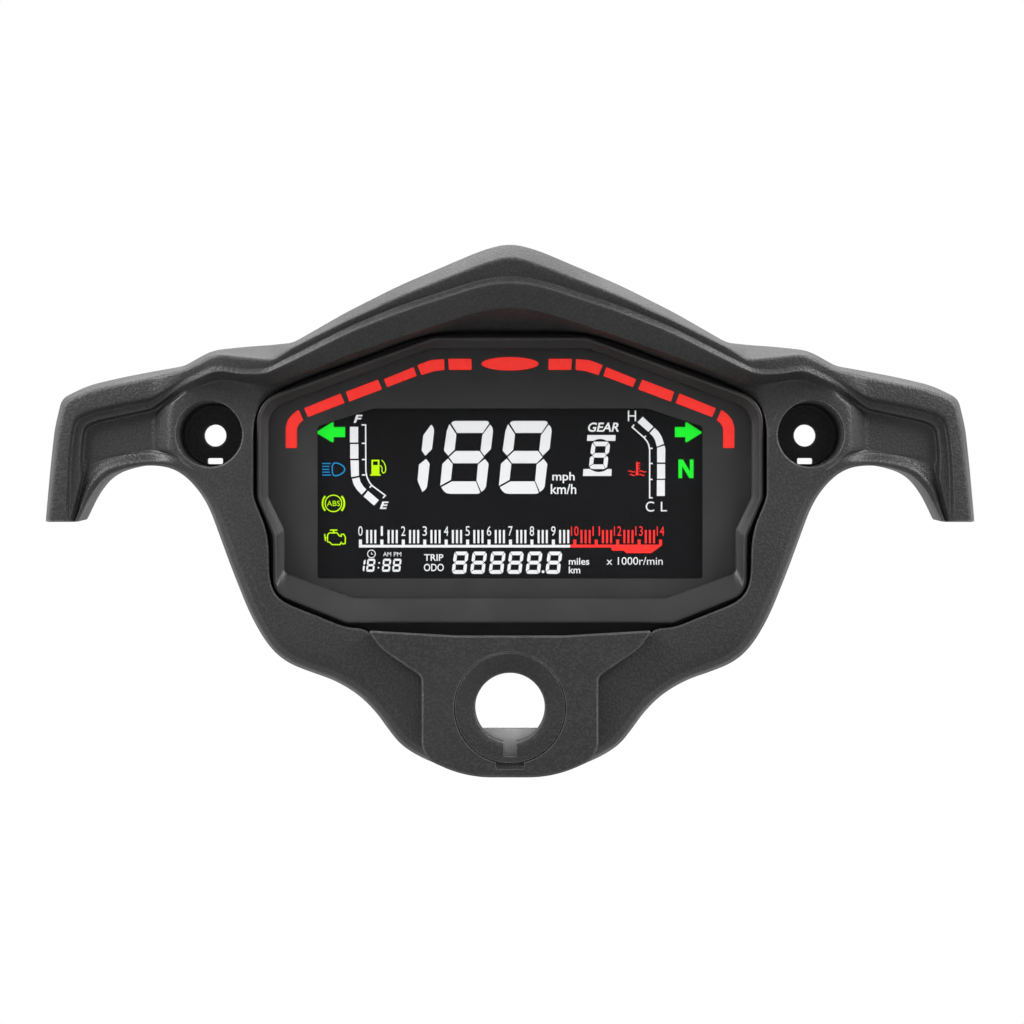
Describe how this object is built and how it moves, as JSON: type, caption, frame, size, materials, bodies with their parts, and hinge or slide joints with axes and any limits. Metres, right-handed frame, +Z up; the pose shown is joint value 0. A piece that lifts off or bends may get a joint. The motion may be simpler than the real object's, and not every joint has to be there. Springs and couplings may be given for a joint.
{
  "type": "motorcycle instrument cluster",
  "caption": "Rear handlebar cover of an underbone motorcycle with a peaked hood, wings, fixing wells, an LCD meter module and a raised ignition key panel.",
  "frame": {"origin": "centre of the whole part's box", "axes": "+X to the rider's right, +Y forward away from the rider, +Z up"},
  "size_m": [0.3536, 0.0656, 0.2004],
  "materials": {
    "textured_black_abs": "fine moulded grain",
    "satin_black_plastic": "satin",
    "tinted_acrylic": "smoky, clear, glossy",
    "mask_black": "fine printed matt",
    "red_light_guide": "translucent red",
    "display_glass": "dark display glass",
    "black_rubber": "matt",
    "contact_rubber": "striped contact strip",
    "dark_plastic": "moulded, fine texture",
    "white_plastic": "semi-matt",
    "diffuser_acrylic": "frosted",
    "green_circuit_board": "solder mask",
    "chip_plastic": "matt moulding compound",
    "capacitor_sleeve": "shrink sleeve",
    "zinc_plated_steel": "bright zinc plate"
  },
  "bodies": {
    "cluster": {"handle_cover": "textured_black_abs", "key_panel": "textured_black_abs", "key_escutcheon": "textured_black_abs", "meter_bezel": "satin_black_plastic", "lens": "tinted_acrylic", "dial_mask": "mask_black", "rev_light_guide_left": "red_light_guide", "rev_light_guide_right": "red_light_guide", "shift_light_lens": "red_light_guide", "lcd_front_glass": "display_glass", "lcd_rear_glass": "display_glass", "lens_gasket": "black_rubber", "case_gasket": "black_rubber", "mode_button_seal": "black_rubber", "set_button_seal": "black_rubber", "meter_grommet_1": "black_rubber", "meter_grommet_2": "black_rubber", "meter_grommet_3": "black_rubber", "meter_grommet_4": "black_rubber", "zebra_strip_upper": "contact_rubber", "zebra_strip_lower": "contact_rubber", "rear_case": "dark_plastic", "vent_plug": "dark_plastic", "lcd_holder": "white_plastic", "backlight_led_bar_upper": "white_plastic", "backlight_led_bar_lower": "white_plastic", "connector_header": "white_plastic", "backlight_diffuser": "diffuser_acrylic", "circuit_board": "green_circuit_board", "controller_chip": "chip_plastic", "lcd_driver_chip": "chip_plastic", "supply_regulator": "chip_plastic", "clock_crystal": "chip_plastic", "mode_switch": "chip_plastic", "set_switch": "chip_plastic", "supply_capacitor": "capacitor_sleeve", "lock_plate": "zinc_plated_steel", "connector_contacts": "zinc_plated_steel", "case_screw_1": "zinc_plated_steel", "case_screw_2": "zinc_plated_steel", "case_screw_3": "zinc_plated_steel", "case_screw_4": "zinc_plated_steel", "meter_screw_1": "zinc_plated_steel", "meter_screw_2": "zinc_plated_steel", "meter_screw_3": "zinc_plated_steel", "meter_screw_4": "zinc_plated_steel", "key_panel_screw_left": "zinc_plated_steel", "key_panel_screw_right": "zinc_plated_steel", "lock_plate_screw_left": "zinc_plated_steel", "lock_plate_screw_right": "zinc_plated_steel"},
    "mode_button": {"mode_button": "black_rubber"},
    "set_button": {"set_button": "black_rubber"}
  },
  "joints": [
    {"name": "mode_button_press", "type": "slide", "parent": "cluster", "child": "mode_button", "axis": [0, -1, 0], "range_m": [0, 0.001], "stiffness_N_per_m": 900, "springref_m": -0.001},
    {"name": "set_button_press", "type": "slide", "parent": "cluster", "child": "set_button", "axis": [0, -1, 0], "range_m": [0, 0.001], "stiffness_N_per_m": 900, "springref_m": -0.001}
  ]
}
